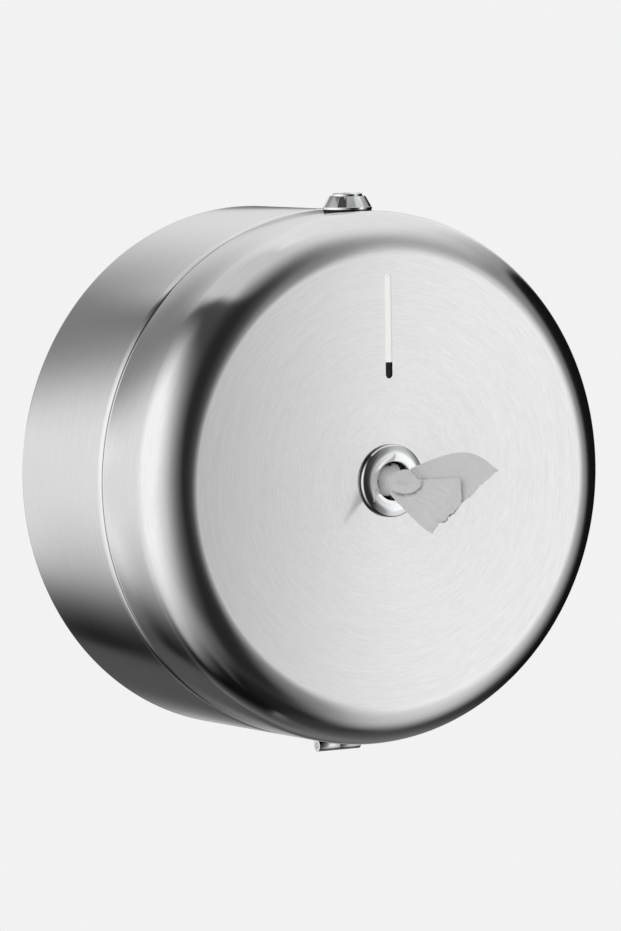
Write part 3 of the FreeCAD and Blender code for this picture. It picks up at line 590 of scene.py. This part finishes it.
@dataclass
class Shells(Assembly):
    """The two drawn shells: the pan on the wall and the cover."""

    radius: float = 135.0
    rear_depth: float = 86.0
    cover_depth: float = 54.0
    wall: float = 0.8
    back_corner: float = 4.0
    front_edge: float = 22.0
    mouth_edge: float = 0.25
    joggle: float = 5.0
    joggle_lead: float = 0.8
    joggle_step: float = 1.3
    joggle_slope: float = 0.65
    joggle_bends: Pair = (1.2, 1.4)  # outside and inside
    shoulder: float = 3.4
    shoulder_fall: float = 0.35
    shoulder_bends: Pair = (0.2, 1.0)
    lip: float = 6.0
    lip_edge: float = 0.3
    nozzle_hole: float = 13.2
    hinge_notch: float = 13.1
    hinge_clear: float = 4.8
    lock_notch: float = 11.6
    lock_depth: float = 102.7
    lock_hole: float = 6.6
    screw_place: float = 60.0
    screw_hole: float = 3.0
    slot_half: float = 2.0
    slot_low: float = 51.4
    slot_high: float = 103.8
    steps: int = 256
    overrun: float = 2.0  # how far a cutting tool reaches past what it cuts

    def pan(self) -> None:
        """Makes the pan: round back corner, joggled rim and a lip inside the cover."""
        inner = self.radius - self.wall
        lip = self.radius - self.joggle_step
        lip_end = self.rear_depth + self.lip
        start = self.rear_depth - self.joggle
        bend = start - self.joggle_lead
        shoulder = self.rear_depth - self.shoulder
        thing = turned("rear_pan", [
            Corner(0, 0), Corner(self.radius, 0, self.back_corner, 8),
            Corner(self.radius, bend, self.joggle_bends[0]),
            Corner(self.radius - self.joggle_slope, shoulder, self.shoulder_fall),
            Corner(lip, shoulder + self.shoulder_fall, self.shoulder_bends[0], 3),
            Corner(lip, lip_end, self.lip_edge, 3),
            Corner(lip - self.wall, lip_end, self.lip_edge, 3),
            Corner(lip - self.wall, shoulder, self.shoulder_bends[1]),
            Corner(inner, bend, self.joggle_bends[1]),
            Corner(inner, self.wall, self.back_corner - self.wall, 8), Corner(0, self.wall),
        ], self.steps, closed=False)
        for across in (-self.screw_place, self.screw_place):
            for up in (-self.screw_place, self.screw_place):
                cut(thing, rod((across, self.wall / 2, up), self.screw_hole, 4 * self.wall,
                               DRUM_AXIS, segments=32))
        front = lip_end + self.overrun
        cut(thing, block((-self.hinge_notch, start, -self.radius - self.overrun),
                         (self.hinge_notch, front, -(lip - self.wall - self.overrun))))
        cut(thing, block(
            (-self.lock_notch, self.rear_depth + self.wall, lip - self.wall - self.overrun),
            (self.lock_notch, front, self.radius + self.overrun)))
        self.dress(settle(thing), Slot.STAINLESS, "rear_case", Body.CASE)

    def cover(self) -> None:
        """Makes the cover: rounded edge, nozzle hole, viewing slot, lock hole and hinge notch."""
        inner = self.radius - self.wall
        depth = self.rear_depth + self.cover_depth
        thing = turned("front_shell", [
            Corner(inner, self.rear_depth),
            Corner(self.radius, self.rear_depth, self.mouth_edge, 3),
            Corner(self.radius, depth, self.front_edge, 24),
            Corner(self.nozzle_hole, depth), Corner(self.nozzle_hole, depth - self.wall),
            Corner(inner, depth - self.wall, self.front_edge - self.wall, 16),
        ], self.steps)
        cut(thing, self.round_ended(depth - self.wall - self.overrun, depth + self.overrun))
        cut(thing, rod((0, self.lock_depth, self.radius), self.lock_hole, 4 * self.overrun,
                       UPWARD, segments=64))
        cut(thing, block(
            (-self.hinge_notch, self.rear_depth - self.overrun, -self.radius - self.overrun),
            (self.hinge_notch, self.rear_depth + self.hinge_clear, -inner + self.overrun)))
        self.dress(settle(thing), Slot.STAINLESS, "front_cover")

    def round_ended(self, back: float, front: float) -> BMesh:
        """Makes the tool for the viewing slot: a strip with round ends.

        Args:
            back: The depth at which it starts.
            front: The depth at which it ends.

        Returns:
            The closed mesh.
        """
        mesh = bmesh.new()
        half, low, high = self.slot_half, self.slot_low, self.slot_high
        points = [mesh.verts.new(frame_point(across, back, up))
                  for across, up in ((-half, low), (half, low), (half, high), (-half, high))]
        mesh.faces.new(points)
        bmesh.ops.bevel(mesh, geom=points, offset=half * MM, offset_type="OFFSET",
                        segments=8, profile=0.5, affect="VERTICES", material=-1)
        bmesh.ops.remove_doubles(mesh, verts=mesh.verts, dist=WELD)
        made = bmesh.ops.extrude_face_region(mesh, geom=mesh.faces[:])
        tops = [item for item in made["geom"] if isinstance(item, BMVert)]
        bmesh.ops.translate(mesh, verts=tops, vec=DRUM_AXIS * (back - front) * MM)
        return mesh

    def build(self) -> None:
        """Makes both shells."""
        self.pan()
        self.cover()


@dataclass
class Nozzle(Assembly):
    """The polished ring, its gasket, nut and finned guide."""

    radius: float = 18.4
    back: float = 140.6
    back_edge: float = 0.15
    edge: float = 142.4
    edge_rounding: float = 1.1
    shoulder: Pair = (14.8, 143.26)
    shoulder_rounding: float = 0.9
    crown: float = 11.2
    crown_rounding: float = 0.85
    front: float = 143.4
    throat: float = 9.8
    throat_depth: float = 141.0
    throat_edge: float = 0.3
    throat_fall: float = 0.05
    spigot: float = 13.0
    spigot_back: float = 127.0
    spigot_edge: float = 0.4
    bore: float = 11.0
    wall: float = 0.8
    steps: int = 128

    def bezel(self) -> None:
        """Makes the ring with its spigot."""
        step = self.throat_depth - self.wall
        thing = turned("nozzle_ring", [
            Corner(self.bore, self.spigot_back),
            Corner(self.spigot, self.spigot_back, self.spigot_edge, 3),
            Corner(self.spigot, self.back), Corner(self.radius, self.back, self.back_edge, 3),
            Corner(self.radius, self.edge, self.edge_rounding, 10),
            Corner(*self.shoulder, self.shoulder_rounding, 10),
            Corner(self.crown, self.front, self.crown_rounding, 8),
            Corner(self.throat, self.front - self.throat_fall, self.throat_edge, 5),
            Corner(self.throat, step), Corner(self.bore, step),
        ], self.steps)
        self.dress(settle(thing), Slot.CHROME, "nozzle_bezel")

    def build(self) -> None:
        """Makes the nozzle's pieces."""
        self.bezel()
        self.fit("nozzle_gasket", Slot.RUBBER)
        self.fit("nozzle_nut", Slot.ZINC, edge_mm=0.3)
        self.fit("nozzle_guide", Slot.PLASTIC, edge_mm=0.15)


@dataclass
class Lock(Assembly):
    """The key lock on top of the cover, with its faceted collar, its cam and its strike."""

    facet_limit: float = 12.0

    def build(self) -> None:
        """Makes the lock's pieces."""
        self.fit("lock_bezel", Slot.CHROME, edge_mm=0.1, limit=self.facet_limit)
        self.fit("lock_body", Slot.CHROME, edge_mm=0.15)
        self.fit("lock_gasket", Slot.RUBBER)
        self.fit("lock_saddle", Slot.RUBBER)
        self.fit("lock_nut", Slot.ZINC, edge_mm=0.3)
        self.fit("lock_plug", Slot.CHROME, Body.PLUG, edge_mm=0.15)
        self.fit("lock_cam", Slot.ZINC, Body.PLUG, edge_mm=0.2)
        self.fit("cam_washer", Slot.ZINC, Body.PLUG, edge_mm=0.1)
        self.fit("cam_screw", Slot.ZINC, Body.PLUG, edge_mm=0.2)
        self.fit("strike_bracket", Slot.STAINLESS, Body.CASE, edge_mm=0.15)


@dataclass
class Hinge(Assembly):
    """The butt hinge under the seam."""

    edge: float = 0.12

    def build(self) -> None:
        """Makes the hinge's pieces."""
        self.fit("hinge_leaf_rear", Slot.STAINLESS, Body.CASE, self.edge)
        self.fit("hinge_leaf_cover", Slot.STAINLESS, Body.COVER, self.edge)
        self.fit("hinge_pin", Slot.ZINC, Body.CASE, self.edge)


@dataclass
class Window(Assembly):
    """The opal strip behind the slot, its frame and what holds it."""

    def build(self) -> None:
        """Makes the window's pieces."""
        self.fit("window_lens", Slot.ACRYLIC)
        self.fit("window_frame", Slot.PLASTIC, edge_mm=0.3)
        self.fit("window_studs", Slot.ZINC, edge_mm=0.15)
        self.fit("window_push_nuts", Slot.ZINC, edge_mm=0.1)


@dataclass(frozen=True)
class TailSection:
    """A line across the strand of tissue, and how it is folded there.

    low and high are its two sides as (across, in front of the nozzle, up) in millimetres. fold says
    where the front layer folds back, from -1 at the low side to 1 at the high side, bulge and proud
    how far that layer's middle and its fold stand out, rolled how far the strand is crumpled to a
    roll of the radius roll rather than spread, and folded how far it is folded in three.
    """

    low: Triple
    high: Triple
    fold: float
    bulge: float
    proud: float
    roll: float = 8.0
    rolled: float = 0.0
    folded: float = 1.0


TAIL = (
    TailSection((-4.0, -9.0, -4.0), (4.0, -9.0, 4.0), 0.3, 0.0, 1.6, 7.4, 1.0, 0.0),
    TailSection((-4.0, -5.5, -4.0), (4.0, -5.5, 4.0), 0.3, 0.0, 1.6, 8.9, 1.0, 0.0),
    TailSection((-4.2, -3.4, -4.2), (4.2, -3.4, 4.2), 0.3, 0.0, 1.6, 8.4, 1.0, 0.0),
    TailSection((-4.6, -1.6, -4.6), (4.4, -1.6, 4.2), 0.5, 0.3, 1.6, 5.8, 0.95, 0.2),
    TailSection((-5.0, 0.8, -5.2), (4.4, 0.8, 4.6), 0.6, 1.6, 1.4, 5.2, 0.7, 0.6),
    TailSection((-5.6, 3.4, -6.2), (4.8, 3.4, 5.8), 0.72, 6.2, 1.6, 6.4, 0.25, 0.95),
    TailSection((-5.6, 6.2, -7.2), (5.0, 6.2, 6.6), 0.8, 6.6, 1.7, 7.2, 0.0, 1.0),
    TailSection((-5.5, 9.0, -8.8), (5.6, 9.0, 7.9), 0.8, 4.6, 1.7, 7.4, 0.0, 1.0),
    TailSection((-5.2, 12.2, -10.5), (7.0, 12.2, 9.2), 0.62, 1.6, 1.8),
    TailSection((-4.8, 15.5, -12.3), (9.2, 15.5, 10.8), 0.36, 0.4, 2.0),
    TailSection((-4.6, 17.8, -13.6), (11.0, 17.8, 11.9), 0.19, 0.3, 2.1),
    TailSection((-4.2, 20.0, -15.0), (12.9, 20.0, 12.9), 0.16, 0.5, 2.2),
    TailSection((-3.8, 27.0, -19.0), (18.4, 28.6, 15.9), 0.19, 0.9, 2.5),
    TailSection((-3.3, 32.0, -21.6), (23.0, 35.4, 15.4), 0.31, 0.5, 2.6),
    TailSection((-3.0, 33.9, -22.5), (25.4, 39.6, 13.4), 0.42, 0.3, 2.6),
    TailSection((-2.9, 34.5, -22.9), (26.6, 41.4, 12.4), 0.37, 0.3, 2.5),
    TailSection((-2.6, 35.8, -23.5), (28.6, 45.0, 9.4), 0.14, 0.2, 1.4),
    TailSection((-2.4, 36.8, -24.0), (30.2, 47.8, 6.9), 0.02, 0.0, 0.5),
)
FRONT_STEPS, HIDDEN_STEPS, BACK_STEPS = 8, 4, 8  # steps across each of the three layers
TAIL_STEPS = FRONT_STEPS + HIDDEN_STEPS + BACK_STEPS
TAIL_TURN = -0.68  # where the hidden layer turns back
TEETH = ((4.0, 1.0), (1.5, 0.7), (0.7, 0.5))  # widths of the torn edge's teeth, and their shares


@dataclass
class Paper(Assembly):
    """The roll, its cradle, and the tail of tissue that hangs out of the nozzle."""

    nozzle_front: float = 143.4
    sheet_size: Pair = (0.080, 0.050)  # metres
    thickness: float = 0.18
    smoothing: int = 3
    pressed: float = 1.6  # a fold that stands out less than this presses the layers together
    front_proud: float = 0.8
    hidden_share: float = 0.8
    back_proud: float = -0.9
    back_wave: float = 0.5
    wrap: float = 330.0  # degrees that the rolled strand goes round
    gather_rate: float = 4.5
    gather_share: float = 0.10
    gather_phase: float = 0.6
    loose_from: Pair = (2.0, 8.0)  # where crumples start, and the length over which they grow
    crumple_mm: float = 0.5
    crumple_size: float = 7.0
    crease_mm: float = 0.8
    crease_rays: float = 3.4
    crease_length: float = 30.0
    crease_centre: float = -6.0
    crease_seed: float = 3.0
    tear_mm: float = 2.0
    tear_reach: float = 4.0
    tear_way: Triple = (0.75, -0.5, -0.3)
    knob_faces: Triple = (-0.53, -0.85, 0.0)  # the side that the lump turns to
    knob_middle: Pair = (4.9, 0.9)
    knob_radii: Pair = (8.8, 6.3)
    knob_proud: float = 2.6
    knob_crease: float = 2.4
    knob_rim: Pair = (1.08, 0.10)  # where the crease runs, and its width, as shares of the radii
    knob_under: float = 0.45
    knob_from: Pair = (2.0, 3.0)

    def layer(self, section: TailSection, step: int) -> Pair:
        """Where a step across the strand lies when it is folded in three.

        Args:
            section: The section.
            step: The step, from the low side.

        Returns:
            Its place from -1 to 1, and how many millimetres it stands out.
        """
        press = min(section.proud / self.pressed, 1.0)
        if step <= FRONT_STEPS:
            share = step / FRONT_STEPS
            swell = math.sin(math.pi * share) * section.bulge
            base = self.front_proud * press
            return (-1 + (1 + section.fold) * share,
                    base + (section.proud - base) * share ** 2 + swell)
        if step <= FRONT_STEPS + HIDDEN_STEPS:
            share = (step - FRONT_STEPS) / HIDDEN_STEPS
            return (section.fold + (TAIL_TURN - section.fold) * share,
                    section.proud * (1 - share) * self.hidden_share)
        share = (step - FRONT_STEPS - HIDDEN_STEPS) / BACK_STEPS
        wave = self.back_wave * math.sin(3 * math.pi * share)
        return TAIL_TURN + (1 - TAIL_TURN) * share, (self.back_proud - wave) * press

    def tail_point(self, section: TailSection, step: int) -> Vector:
        """A point of the strand's cage.

        Args:
            section: The section.
            step: Which of the layers' places it is.

        Returns:
            The point in metres.
        """
        share = step / TAIL_STEPS
        along, proud = self.layer(section, step)
        low, high = (Vector((end[0], -(self.nozzle_front + end[1]), end[2]))
                     for end in (section.low, section.high))
        middle, half = (low + high) / 2, (high - low) / 2
        out = (-DRUM_AXIS).cross(half).normalized()
        spread = (2 * share - 1) * (1 - section.folded) + along * section.folded
        flat = middle + half * spread + out * proud * section.folded
        angle = math.radians(-self.wrap / 2 + self.wrap * share)
        gather = math.cos(self.gather_rate * angle + self.gather_phase)
        radius = section.roll * (1 + self.gather_share * gather)
        rolled = middle + radius * (half.normalized() * math.sin(angle) + out * math.cos(angle))
        return flat.lerp(rolled, section.rolled) * MM

    def knob(self, point: Vector) -> Vector:
        """How far a point moves to make the lump in front of the nozzle and the crease under it.

        Args:
            point: The point, in millimetres from the middle of the nozzle's front.

        Returns:
            The move in millimetres.
        """
        faces = Vector(self.knob_faces).normalized()
        level = Vector((-faces.y, faces.x, 0.0))
        aside = (point.dot(level) - self.knob_middle[0]) / self.knob_radii[0]
        above = (point.z - self.knob_middle[1]) / self.knob_radii[1]
        far = math.hypot(aside, above)
        under = ramp(self.knob_under - above / max(far, TINY), 0.0, 1.0)
        rim, width = self.knob_rim
        crease = math.exp(-((far - rim) / width) ** 2) * self.knob_crease * under
        lump = self.knob_proud * math.sqrt(max(1 - far ** 2, 0.0))
        return faces * (lump - crease) * ramp(-point.y, *self.knob_from)

    def crumple(self, mesh: BMesh, torn: Sequence[Vector]) -> None:
        """Crumples the smooth strand, tears its end and raises the lump.

        Args:
            mesh: The strand.
            torn: Points along its torn end.
        """
        for vertex in mesh.verts:
            forward = -vertex.co.y / MM - self.nozzle_front
            crumple = noise.fractal(vertex.co / (self.crumple_size * MM), 0.9, 2.1, 4)
            ray = math.atan2(vertex.co.z, vertex.co.x - self.crease_centre * MM)
            crease = abs(noise.noise(Vector((
                ray * self.crease_rays, forward / self.crease_length, self.crease_seed))))
            lump = self.knob(Vector((vertex.co.x / MM, -forward, vertex.co.z / MM)))
            move = crumple * self.crumple_mm + crease * self.crease_mm
            vertex.co += vertex.normal * move * ramp(forward, *self.loose_from) * MM
            near = min((vertex.co - point).length for point in torn) / MM
            if near < self.tear_reach:
                tear = sum(noise.noise(vertex.co / (size * MM)) * share for size, share in TEETH)
                tear *= self.tear_mm * (1 - near / self.tear_reach)
                vertex.co += Vector(self.tear_way) * tear * MM
            vertex.co += lump * MM

    def tail(self) -> None:
        """Makes the strand: rolled in the nozzle, swollen before it, then spread and torn off."""
        mesh = bmesh.new()
        rows = [[mesh.verts.new(self.tail_point(section, step)) for step in range(TAIL_STEPS + 1)]
                for section in TAIL]
        for near, far in zip(rows, rows[1:]):
            for step in range(TAIL_STEPS):
                mesh.faces.new((near[step], near[step + 1], far[step + 1], far[step]))
        torn = [vertex.co.copy() for vertex in rows[-1]]
        thing = to_object(mesh, "tissue_tail")
        smooth = thing.modifiers.new("smooth", "SUBSURF")
        smooth.levels = smooth.render_levels = self.smoothing
        smooth.boundary_smooth = "PRESERVE_CORNERS"
        settle(thing, CREASED)
        mesh = bmesh.new()
        mesh.from_mesh(thing.data)
        mesh.normal_update()
        self.crumple(mesh, torn)
        mesh.to_mesh(thing.data)
        mesh.free()
        body = thing.modifiers.new("thickness", "SOLIDIFY")
        body.thickness, body.offset = self.thickness * MM, 0.0
        self.dress(settle(thing, CREASED), Slot.TISSUE, "paper_tail")

    def build(self) -> None:
        """Makes the roll, the cradle and the tail."""
        self.fit("paper_roll", Slot.TISSUE, Body.CASE, edge_mm=0.8)
        self.fit("roll_cradle", Slot.STAINLESS, Body.CASE, edge_mm=0.2)
        self.tail()


# The studio


class Axes(Enum):
    """How a panel is laid out: by compass and height, or round the drum's axis."""

    COMPASS = "compass"
    ROUND = "round"


@dataclass(frozen=True)
class Panel:
    """A soft-edged softbox or black flag in the light round the object, oval or fuller.

    With COMPASS, middle is degrees from straight in front towards +X, and above the horizon. With
    ROUND, it is degrees round the drum's axis from -X upwards, and from straight in front. The
    fades are the shares of the radius over which it fades in from its left, right, lower and upper
    side, and a power over 2 makes the oval fuller, towards a box.
    """

    level: float
    middle: Pair
    radii: Pair
    fades: tuple[float, float, float, float]
    power: float = 2.0
    axes: Axes = Axes.COMPASS


STUDIO_BASE = 0.68
STUDIO_PANELS = (
    # Upper right, lighter
    Panel(0.92, (98.3, 68.0), (100.0, 99.4), (0.89, 0.34, 0.35, 1.19), 1.6),
    # Dark below, and grey below on the right
    Panel(0.006, (-59.3, -94.9), (136.5, 98.6), (0.05, 0.05, 0.30, 0.91), 1.6),
    Panel(0.043, (116.3, -74.6), (125.5, 49.4), (0.42, 1.25, 0.98, 0.92), 1.6),
    # Black flag with a sharp arch on the left, and a large softbox in it
    Panel(0.063, (-85.0, -6.0), (108.0, 74.0), (0.14, 0.05, 0.97, 0.06)),
    Panel(1.13, (-105.2, -7.0), (112.5, 65.0), (0.99, 0.99, 0.79, 0.48), 1.7),
    # Dark in front, grey over it, and a softbox in front on the right
    Panel(0.022, (-3.0, -13.3), (59.6, 92.1), (1.30, 0.93, 0.69, 0.53), 4.2),
    Panel(0.28, (54.1, 17.9), (59.0, 41.8), (1.06, 0.66, 0.76, 1.27), 3.4),
    Panel(1.11, (42.1, -6.7), (17.2, 45.9), (0.57, 1.30, 1.15, 1.29), 2.6),
    # Grey under the black flag with a sharp arch on the right
    Panel(0.056, (99.2, -25.8), (45.7, 72.3), (1.04, 0.05, 0.59, 0.48), 1.9),
    Panel(0.006, (90.0, -15.0), (50.0, 42.0), (1.30, 0.05, 1.25, 0.07)),
    # Dark below, behind
    Panel(0.003, (162.2, -64.1), (74.8, 43.8), (1.07, 0.38, 1.05, 0.33), 5.0),
    # Softbox behind on the left, the gap over it, the grey below it, and a black strip in that
    Panel(1.06, (-15.5, 179.6), (69.3, 64.0), (0.65, 0.68, 1.30, 0.35), 3.6, Axes.ROUND),
    Panel(0.24, (77.0, 162.6), (82.8, 20.1), (1.28, 1.24, 0.64, 0.23), 2.2, Axes.ROUND),
    Panel(0.28, (-112.2, 179.4), (53.8, 100.0), (0.25, 0.72, 0.67, 0.30), 1.9, Axes.ROUND),
    Panel(0.003, (-87.6, 149.7), (81.9, 12.9), (1.24, 1.30, 1.01, 0.82), 1.6, Axes.ROUND),
    # Grey with a sharp edge, behind and below
    Panel(0.09, (-122.0, 160.0), (27.5, 40.0), (0.9, 0.05, 0.5, 0.5), 4.0, Axes.ROUND),
    # Small black flag behind
    Panel(0.02, (148.5, 1.3), (8.0, 5.5), (0.5, 0.4, 0.4, 0.5), 2.5),
)
SHARPEST_FADE = 0.02
BACKGROUND = "#F2F2F2"
IMAGE_HEIGHT = 931


@dataclass
class Studio:
    """Plain pale surroundings with soft light, and the camera. The camera's sizes are metres."""

    target: Triple = (0.0, -0.080, 0.0)
    distance: float = 3.1595
    azimuth: float = -31.855
    elevation: float = 4.401
    roll: float = -0.825
    lens: float = 239.45
    sensor: float = 36.0
    shift: Pair = (-16.95 / IMAGE_HEIGHT, 8.23 / IMAGE_HEIGHT)
    clip: Pair = (0.05, 50.0)
    floor_height: float = -0.42
    floor_radius: float = 1.5
    floor_sides: int = 96
    fade_from: float = 0.15
    fade_to: float = 0.9
    fade_least: float = 0.55  # under the object, where its soft shadow is to show

    def camera(self) -> None:
        """Sets up the camera at the photograph's viewing angle."""
        azimuth, elevation, roll = (
            math.radians(v) for v in (self.azimuth, self.elevation, self.roll))
        back = Vector((math.sin(azimuth) * math.cos(elevation),
                       -math.cos(azimuth) * math.cos(elevation), math.sin(elevation)))
        level = Vector((math.cos(azimuth), math.sin(azimuth), 0.0))
        upward = back.cross(level)
        right = math.cos(roll) * level + math.sin(roll) * upward
        up = -math.sin(roll) * level + math.cos(roll) * upward
        data = bpy.data.cameras.new("camera")
        data.lens, data.sensor_width, data.sensor_fit = self.lens, self.sensor, "AUTO"
        data.shift_x, data.shift_y = self.shift
        data.clip_start, data.clip_end = self.clip
        camera = bpy.data.objects.new("camera", data)
        bpy.context.scene.collection.objects.link(camera)
        turn = Matrix((right, up, back)).transposed().to_4x4()
        camera.matrix_world = Matrix.Translation(Vector(self.target) + back * self.distance) @ turn
        bpy.context.scene.camera = camera

    def world(self) -> None:
        """Lights the object from soft panels all round, and shows the camera a plain background."""
        world = bpy.data.worlds.new("studio")
        world.use_nodes = True
        bpy.context.scene.world = world
        tree = world.node_tree
        tree.nodes.clear()
        way = add_node(tree, "TexCoord").outputs["Generated"]
        x, y, z = add_node(tree, "SeparateXYZ", inputs={0: way}).outputs
        left, forward = (
            add_node(tree, "Math", {"operation": "MULTIPLY"}, {0: side, 1: -1.0}).outputs[0]
            for side in (x, y))
        angles = []
        for operation, values in (("ARCTAN2", {0: x, 1: forward}), ("ARCSINE", {0: z}),
                                  ("ARCTAN2", {0: z, 1: left}), ("ARCCOSINE", {0: forward})):
            angle = add_node(tree, "Math", {"operation": operation}, values).outputs[0]
            angles.append(add_node(tree, "Math", {"operation": "DEGREES"}, {0: angle}).outputs[0])
        layouts = {Axes.COMPASS: angles[:2], Axes.ROUND: angles[2:]}
        level: Any = STUDIO_BASE
        for panel in STUDIO_PANELS:
            share = self.inside(tree, *layouts[panel.axes], panel)
            level = add_node(tree, "Mix", {"data_type": "FLOAT"},
                             {0: share, 2: level, 3: panel.level}).outputs[0]
        light, plain = (
            add_node(tree, "Background", inputs={"Color": colour, "Strength": 1.0}).outputs[0]
            for colour in (level, linear(BACKGROUND)))
        rays = add_node(tree, "LightPath").outputs
        seen = add_node(tree, "Math", {"operation": "MAXIMUM"}, {
            0: rays["Is Camera Ray"], 1: rays["Is Transmission Ray"]}).outputs[0]
        shown = add_node(tree, "MixShader", inputs={0: seen, 1: light, 2: plain}).outputs[0]
        add_node(tree, "OutputWorld", inputs={"Surface": shown})

    @staticmethod
    def inside(tree: NodeTree, across: NodeSocket, up: NodeSocket, panel: Panel) -> NodeSocket:
        """Says how far a direction is inside a panel.

        Args:
            tree: The world's tree.
            across: The direction's first angle in degrees.
            up: Its second angle in degrees.
            panel: The panel.

        Returns:
            A share from 0, outside, to 1, inside.
        """
        aside, above = (
            add_node(tree, "Math", {"operation": "SUBTRACT"}, {0: angle, 1: middle}).outputs[0]
            for angle, middle in zip((across, up), panel.middle))
        aside = add_node(tree, "Math", {"operation": "WRAP"},
                         {0: aside, 1: 180.0, 2: -180.0}).outputs[0]
        total: Any = 0.0
        fade: Any = 0.0
        for angle, radius, low, high in ((aside, panel.radii[0], *panel.fades[:2]),
                                         (above, panel.radii[1], *panel.fades[2:])):
            far = angle
            for step, value in (("DIVIDE", radius), ("ABSOLUTE", 0.0), ("POWER", panel.power)):
                far = add_node(tree, "Math", {"operation": step}, {0: far, 1: value}).outputs[0]
            beyond = add_node(tree, "Math", {"operation": "GREATER_THAN"},
                              {0: angle, 1: 0.0}).outputs[0]
            side = add_node(tree, "Math", {"operation": "MULTIPLY_ADD"},
                            {0: beyond, 1: high - low, 2: low}).outputs[0]
            total = add_node(tree, "Math", {"operation": "ADD"}, {0: far, 1: total}).outputs[0]
            fade = add_node(tree, "Math", {"operation": "MULTIPLY_ADD"},
                            {0: far, 1: side, 2: fade}).outputs[0]
        reach = add_node(tree, "Math", {"operation": "POWER"},
                         {0: total, 1: 1 / panel.power}).outputs[0]
        inward = add_node(tree, "Math", {"operation": "SUBTRACT"}, {0: 1.0, 1: reach}).outputs[0]
        total = add_node(tree, "Math", {"operation": "ADD"}, {0: total, 1: TINY}).outputs[0]
        for operation, value in (("DIVIDE", total), ("MAXIMUM", SHARPEST_FADE)):
            fade = add_node(tree, "Math", {"operation": operation}, {0: fade, 1: value}).outputs[0]
        share = add_node(tree, "Math", {"operation": "DIVIDE"}, {0: inward, 1: fade}).outputs[0]
        return add_node(tree, "MapRange", {"interpolation_type": "SMOOTHSTEP"},
                        {"Value": share}).outputs[0]

    def floor(self) -> None:
        """Makes a pale round floor under the object, which fades into the background."""
        mesh = bmesh.new()
        bmesh.ops.create_circle(mesh, cap_ends=True, segments=self.floor_sides,
                                radius=self.floor_radius,
                                matrix=Matrix.Translation((0, 0, self.floor_height)))
        thing = to_object(mesh, "floor")
        material, tree, place = new_material("floor_pale_paper")
        flat = add_node(tree, "VectorMath", {"operation": "MULTIPLY"},
                        {0: place, 1: (1.0, 1.0, 0.0)}).outputs[0]
        far = add_node(tree, "VectorMath", {"operation": "LENGTH"}, {0: flat}).outputs["Value"]
        fade = add_node(tree, "MapRange", {"interpolation_type": "SMOOTHSTEP"}, {
            "Value": far, "From Min": self.fade_from, "From Max": self.fade_to,
            "To Min": self.fade_least, "To Max": 1.0}).outputs[0]
        rays = add_node(tree, "LightPath").outputs
        seen: Any = rays["Is Transmission Ray"]
        for operation, value in (("MAXIMUM", rays["Is Glossy Ray"]),
                                 ("MAXIMUM", rays["Is Camera Ray"]), ("MULTIPLY", fade)):
            seen = add_node(tree, "Math", {"operation": operation}, {0: seen, 1: value}).outputs[0]
        plain = add_node(tree, "Emission", inputs={
            "Color": linear(BACKGROUND), "Strength": 1.0}).outputs[0]
        matt = add_node(tree, "BsdfDiffuse", inputs={"Color": linear(BACKGROUND)}).outputs[0]
        shown = add_node(tree, "MixShader", inputs={0: seen, 1: matt, 2: plain}).outputs[0]
        add_node(tree, "OutputMaterial", inputs={"Surface": shown})
        thing.data.materials.append(material)
        thing.visible_glossy = False

    def build(self) -> None:
        """Sets up the studio."""
        self.camera()
        self.world()
        self.floor()
        bpy.context.scene.view_settings.view_transform = "Standard"


def main() -> None:
    """Builds the dispenser's looks and its studio."""
    logging.basicConfig(level=logging.INFO, format="%(name)s %(message)s")
    palette = Palette()
    for assembly in (Shells, Nozzle, Lock, Hinge, Window, Paper):
        assembly(palette).build()
    Studio().build()


if __name__ == "__main__":
    main()
